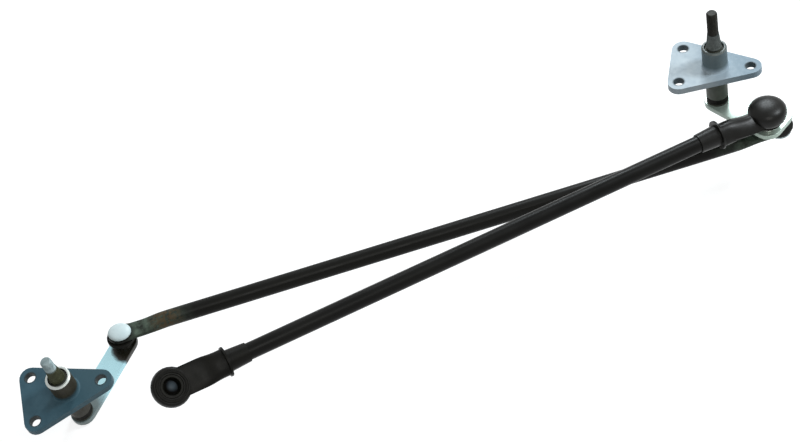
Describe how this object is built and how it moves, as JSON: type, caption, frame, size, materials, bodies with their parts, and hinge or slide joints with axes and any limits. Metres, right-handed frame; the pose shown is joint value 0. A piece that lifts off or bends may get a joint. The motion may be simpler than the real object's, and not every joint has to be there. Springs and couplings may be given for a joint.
{
  "type": "windscreen wiper linkage",
  "caption": "Loose windscreen wiper linkage: two flanged pivots with threaded spindles, their levers, a link rod between them and a drive rod with a free ball socket.",
  "frame": {"origin": "on the right spindle's axis, level with the upper face of the right flange, where it seats under the cowl", "axes": "+Z along the right spindle towards its threaded tip, +X along the link rod from the left pivot to the right one, -Y towards the free end of the drive rod"},
  "size_m": [0.5832, 0.1723, 0.1307],
  "materials": {
    "right_casting": "cast with a thin light blue-grey coat",
    "left_casting": "cast, bare and weathered",
    "bush_bronze": "sintered, oiled",
    "rubber": "matt black",
    "right_spindle_steel": "dark phosphated, knurled cone and thread",
    "left_spindle_steel": "grey, knurled cone and thread",
    "washer_steel": "plain",
    "stud_steel": "polished ball",
    "zinc_plate": "bright zinc with a light blue tint",
    "rod_paint": "black satin paint, chipped at the pressed ends",
    "white_plastic": "natural nylon",
    "liner_plastic": "black nylon",
    "socket_plastic": "black moulded nylon"
  },
  "bodies": {
    "right_pivot_housing": {"right_pivot_housing": "right_casting", "right_upper_bush": "bush_bronze", "right_lower_bush": "bush_bronze", "right_seal_ring": "rubber", "right_lower_seal": "rubber"},
    "right_lever": {"right_spindle": "right_spindle_steel", "right_top_washer": "washer_steel", "right_circlip": "washer_steel", "right_thrust_washer": "washer_steel", "right_lever": "zinc_plate", "right_drive_ball_stud": "stud_steel", "right_link_ball_stud": "stud_steel"},
    "drive_rod": {"drive_rod_tube": "rod_paint", "drive_rod_right_socket": "socket_plastic", "drive_rod_left_socket": "socket_plastic", "drive_rod_right_liner": "liner_plastic", "drive_rod_left_liner": "liner_plastic", "drive_rod_left_seal": "rubber", "drive_rod_right_boot": "rubber"},
    "link_rod": {"link_rod_tube": "rod_paint", "link_rod_left_socket": "white_plastic", "link_rod_right_socket": "white_plastic", "link_rod_left_boot": "rubber", "link_rod_right_boot": "rubber"},
    "left_lever": {"left_lever": "zinc_plate", "left_link_ball_stud": "stud_steel", "left_spindle": "left_spindle_steel", "left_top_washer": "washer_steel", "left_circlip": "washer_steel", "left_thrust_washer": "washer_steel"},
    "left_pivot_housing": {"left_pivot_housing": "left_casting", "left_upper_bush": "bush_bronze", "left_lower_bush": "bush_bronze", "left_seal_ring": "rubber", "left_lower_seal": "rubber"}
  },
  "joints": [
    {"name": "right_spindle_turn", "type": "hinge", "parent": "right_pivot_housing", "child": "right_lever", "pos_m": [0, 0, 0], "axis": [0, 0, 1], "range_deg": [-55, 55]},
    {"name": "drive_rod_swing", "type": "hinge", "parent": "right_lever", "child": "drive_rod", "pos_m": [0.02216, -0.04167, -0.01875], "axis": [0, 0, 1], "range_deg": [-40, 75]},
    {"name": "link_rod_swing", "type": "hinge", "parent": "right_lever", "child": "link_rod", "pos_m": [0.03378, -0.03297, -0.0483], "axis": [0, 0, 1], "range_deg": [-70, 70]},
    {"name": "left_lever_swing", "type": "hinge", "parent": "link_rod", "child": "left_lever", "pos_m": [-0.45932, -0.03297, -0.0509], "axis": [-0.1781, -0.1819, 0.9671], "range_deg": [-60, 60]},
    {"name": "left_spindle_turn", "type": "hinge", "parent": "left_lever", "child": "left_pivot_housing", "pos_m": [-0.5055, -0.07593, -0.04225], "axis": [-0.1781, -0.1819, 0.9671], "range_deg": [-55, 55]}
  ]
}
